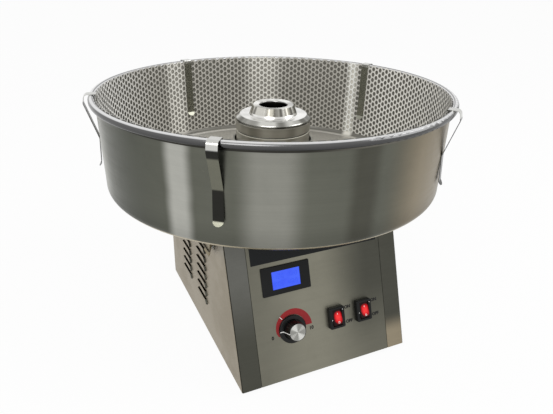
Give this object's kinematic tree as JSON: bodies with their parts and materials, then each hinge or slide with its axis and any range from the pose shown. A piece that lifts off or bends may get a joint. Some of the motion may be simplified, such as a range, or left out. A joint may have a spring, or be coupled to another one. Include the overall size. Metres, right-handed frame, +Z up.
{
  "type": "candy floss machine",
  "caption": "Table top electric candy floss machine: stainless cabinet with sloped control panel, wide lift-off bowl with perforated net and spring clips, spinning heated head.",
  "frame": {"origin": "on the bowl's axis, on the surface that the feet stand on", "axes": "+X to the right as seen from the front, +Y to the back, +Z up"},
  "size_m": [0.6461, 0.6428, 0.4574],
  "materials": {
    "brushed_panel": "brushed stainless sheet",
    "spun_steel": "polished spun stainless",
    "net_steel": "polished perforated stainless",
    "spring_steel": "polished spring strip",
    "zinc_steel": "zinc plated",
    "bright_steel": "turned and ground",
    "head_alloy": "turned, fine lines",
    "cap_alloy": "spun face",
    "cast_alloy": "as cast",
    "motor_paint": "satin",
    "lamination": "stacked sheet",
    "copper_alloy": "turned",
    "ribbon_alloy": "heat stained strip",
    "carbon": "pressed carbon",
    "insulation": "pressed insulating board",
    "case_black": "moulded, smooth",
    "knob_black": "moulded, satin",
    "screen_blue": "lit from behind",
    "rocker_red": "clear red, lit from inside",
    "card_green": "lacquered card",
    "soft_rubber": "moulded",
    "gland_nylon": "moulded nylon"
  },
  "bodies": {
    "root": {"side_panel_left": "brushed_panel", "side_panel_right": "brushed_panel", "control_panel": "brushed_panel", "base_plate": "brushed_panel", "top_deck": "brushed_panel", "rear_panel": "brushed_panel", "cabinet_screws": "zinc_steel", "feet": "soft_rubber", "deck_spigot": "spun_steel", "bowl_seat": "soft_rubber", "catch_bases": "zinc_steel", "display_case": "case_black", "display_screen": "screen_blue", "display_board": "card_green", "heat_pot": "zinc_steel", "pot_nut": "zinc_steel", "heat_switch_body": "case_black", "motor_switch_body": "case_black", "bearings": "bright_steel", "bearing_housing": "cast_alloy", "motor_caps": "cast_alloy", "motor_can": "motor_paint", "motor_stator": "lamination", "motor_bracket": "zinc_steel", "motor_fasteners": "zinc_steel", "brush_holder": "insulation", "carbon_brushes": "carbon", "control_board": "card_green", "terminal_strip": "insulation", "cord_gland": "gland_nylon", "fuse_holder": "case_black"},
    "bowl": {"bowl": "spun_steel", "bowl_collar": "spun_steel", "bowl_net": "net_steel", "catch_keepers": "zinc_steel"},
    "spinner": {"drive_shaft": "bright_steel", "motor_rotor": "lamination", "slip_sleeve": "insulation", "slip_rings": "copper_alloy", "head_drum": "head_alloy", "head_cap": "head_alloy", "head_fasteners": "bright_steel", "heater_insulator": "insulation", "heater_ribbon": "ribbon_alloy", "floss_screen": "bright_steel"},
    "heat_knob": {"knob_body": "knob_black", "knob_cap": "cap_alloy", "pot_shaft": "cast_alloy"},
    "heat_rocker": {"heat_rocker": "rocker_red"},
    "motor_rocker": {"motor_rocker": "rocker_red"},
    "catch_lever_left": {"catch_lever_left": "zinc_steel"},
    "catch_lever_right": {"catch_lever_right": "zinc_steel"},
    "catch_loop_left": {"catch_loop_left": "bright_steel"},
    "catch_loop_right": {"catch_loop_right": "bright_steel"},
    "clip_back_left": {"clip_back_left": "spring_steel"},
    "clip_back_right": {"clip_back_right": "spring_steel"},
    "clip_front": {"clip_front": "spring_steel"},
    "clip_left": {"clip_left": "spring_steel"},
    "clip_right": {"clip_right": "spring_steel"}
  },
  "joints": [
    {"name": "bowl_lift", "type": "slide", "parent": "root", "child": "bowl", "axis": [0, 0, 1], "range_m": [0, 0.16]},
    {"name": "head_spin", "type": "hinge", "parent": "root", "child": "spinner", "pos_m": [0, 0, 0.33], "axis": [0, 0, 1], "continuous": true},
    {"name": "heat_knob_turn", "type": "hinge", "parent": "root", "child": "heat_knob", "pos_m": [-0.06, -0.22268, 0.0946], "axis": [0, -0.9494, 0.314], "range_deg": [-195, 25]},
    {"name": "heat_rocker_tip", "type": "hinge", "parent": "root", "child": "heat_rocker", "pos_m": [0.0253, -0.22544, 0.09583], "axis": [1, 0, 0], "range_deg": [0, 24]},
    {"name": "motor_rocker_tip", "type": "hinge", "parent": "root", "child": "motor_rocker", "pos_m": [0.0834, -0.22544, 0.09583], "axis": [1, 0, 0], "range_deg": [0, 24]},
    {"name": "catch_lever_left_swing", "type": "hinge", "parent": "root", "child": "catch_lever_left", "pos_m": [-0.1672, -0.114, 0.241], "axis": [0, 1, 0], "range_deg": [0, 120]},
    {"name": "catch_loop_left_swing", "type": "hinge", "parent": "catch_lever_left", "child": "catch_loop_left", "pos_m": [-0.1672, -0.114, 0.234], "axis": [0, 1, 0], "range_deg": [0, 60]},
    {"name": "catch_lever_right_swing", "type": "hinge", "parent": "root", "child": "catch_lever_right", "pos_m": [0.1672, -0.114, 0.241], "axis": [0, -1, 0], "range_deg": [0, 120]},
    {"name": "catch_loop_right_swing", "type": "hinge", "parent": "catch_lever_right", "child": "catch_loop_right", "pos_m": [0.1672, -0.114, 0.234], "axis": [0, -1, 0], "range_deg": [0, 60]},
    {"name": "clip_back_left_shift", "type": "hinge", "parent": "bowl", "child": "clip_back_left", "pos_m": [0, 0, 0.44], "axis": [0, 0, 1], "range_deg": [-20, 20]},
    {"name": "clip_back_right_shift", "type": "hinge", "parent": "bowl", "child": "clip_back_right", "pos_m": [0, 0, 0.44], "axis": [0, 0, 1], "range_deg": [-20, 20]},
    {"name": "clip_front_shift", "type": "hinge", "parent": "bowl", "child": "clip_front", "pos_m": [0, 0, 0.44], "axis": [0, 0, 1], "range_deg": [-20, 20]},
    {"name": "clip_left_shift", "type": "hinge", "parent": "bowl", "child": "clip_left", "pos_m": [0, 0, 0.44], "axis": [0, 0, 1], "range_deg": [-20, 20]},
    {"name": "clip_right_shift", "type": "hinge", "parent": "bowl", "child": "clip_right", "pos_m": [0, 0, 0.44], "axis": [0, 0, 1], "range_deg": [-20, 20]}
  ]
}
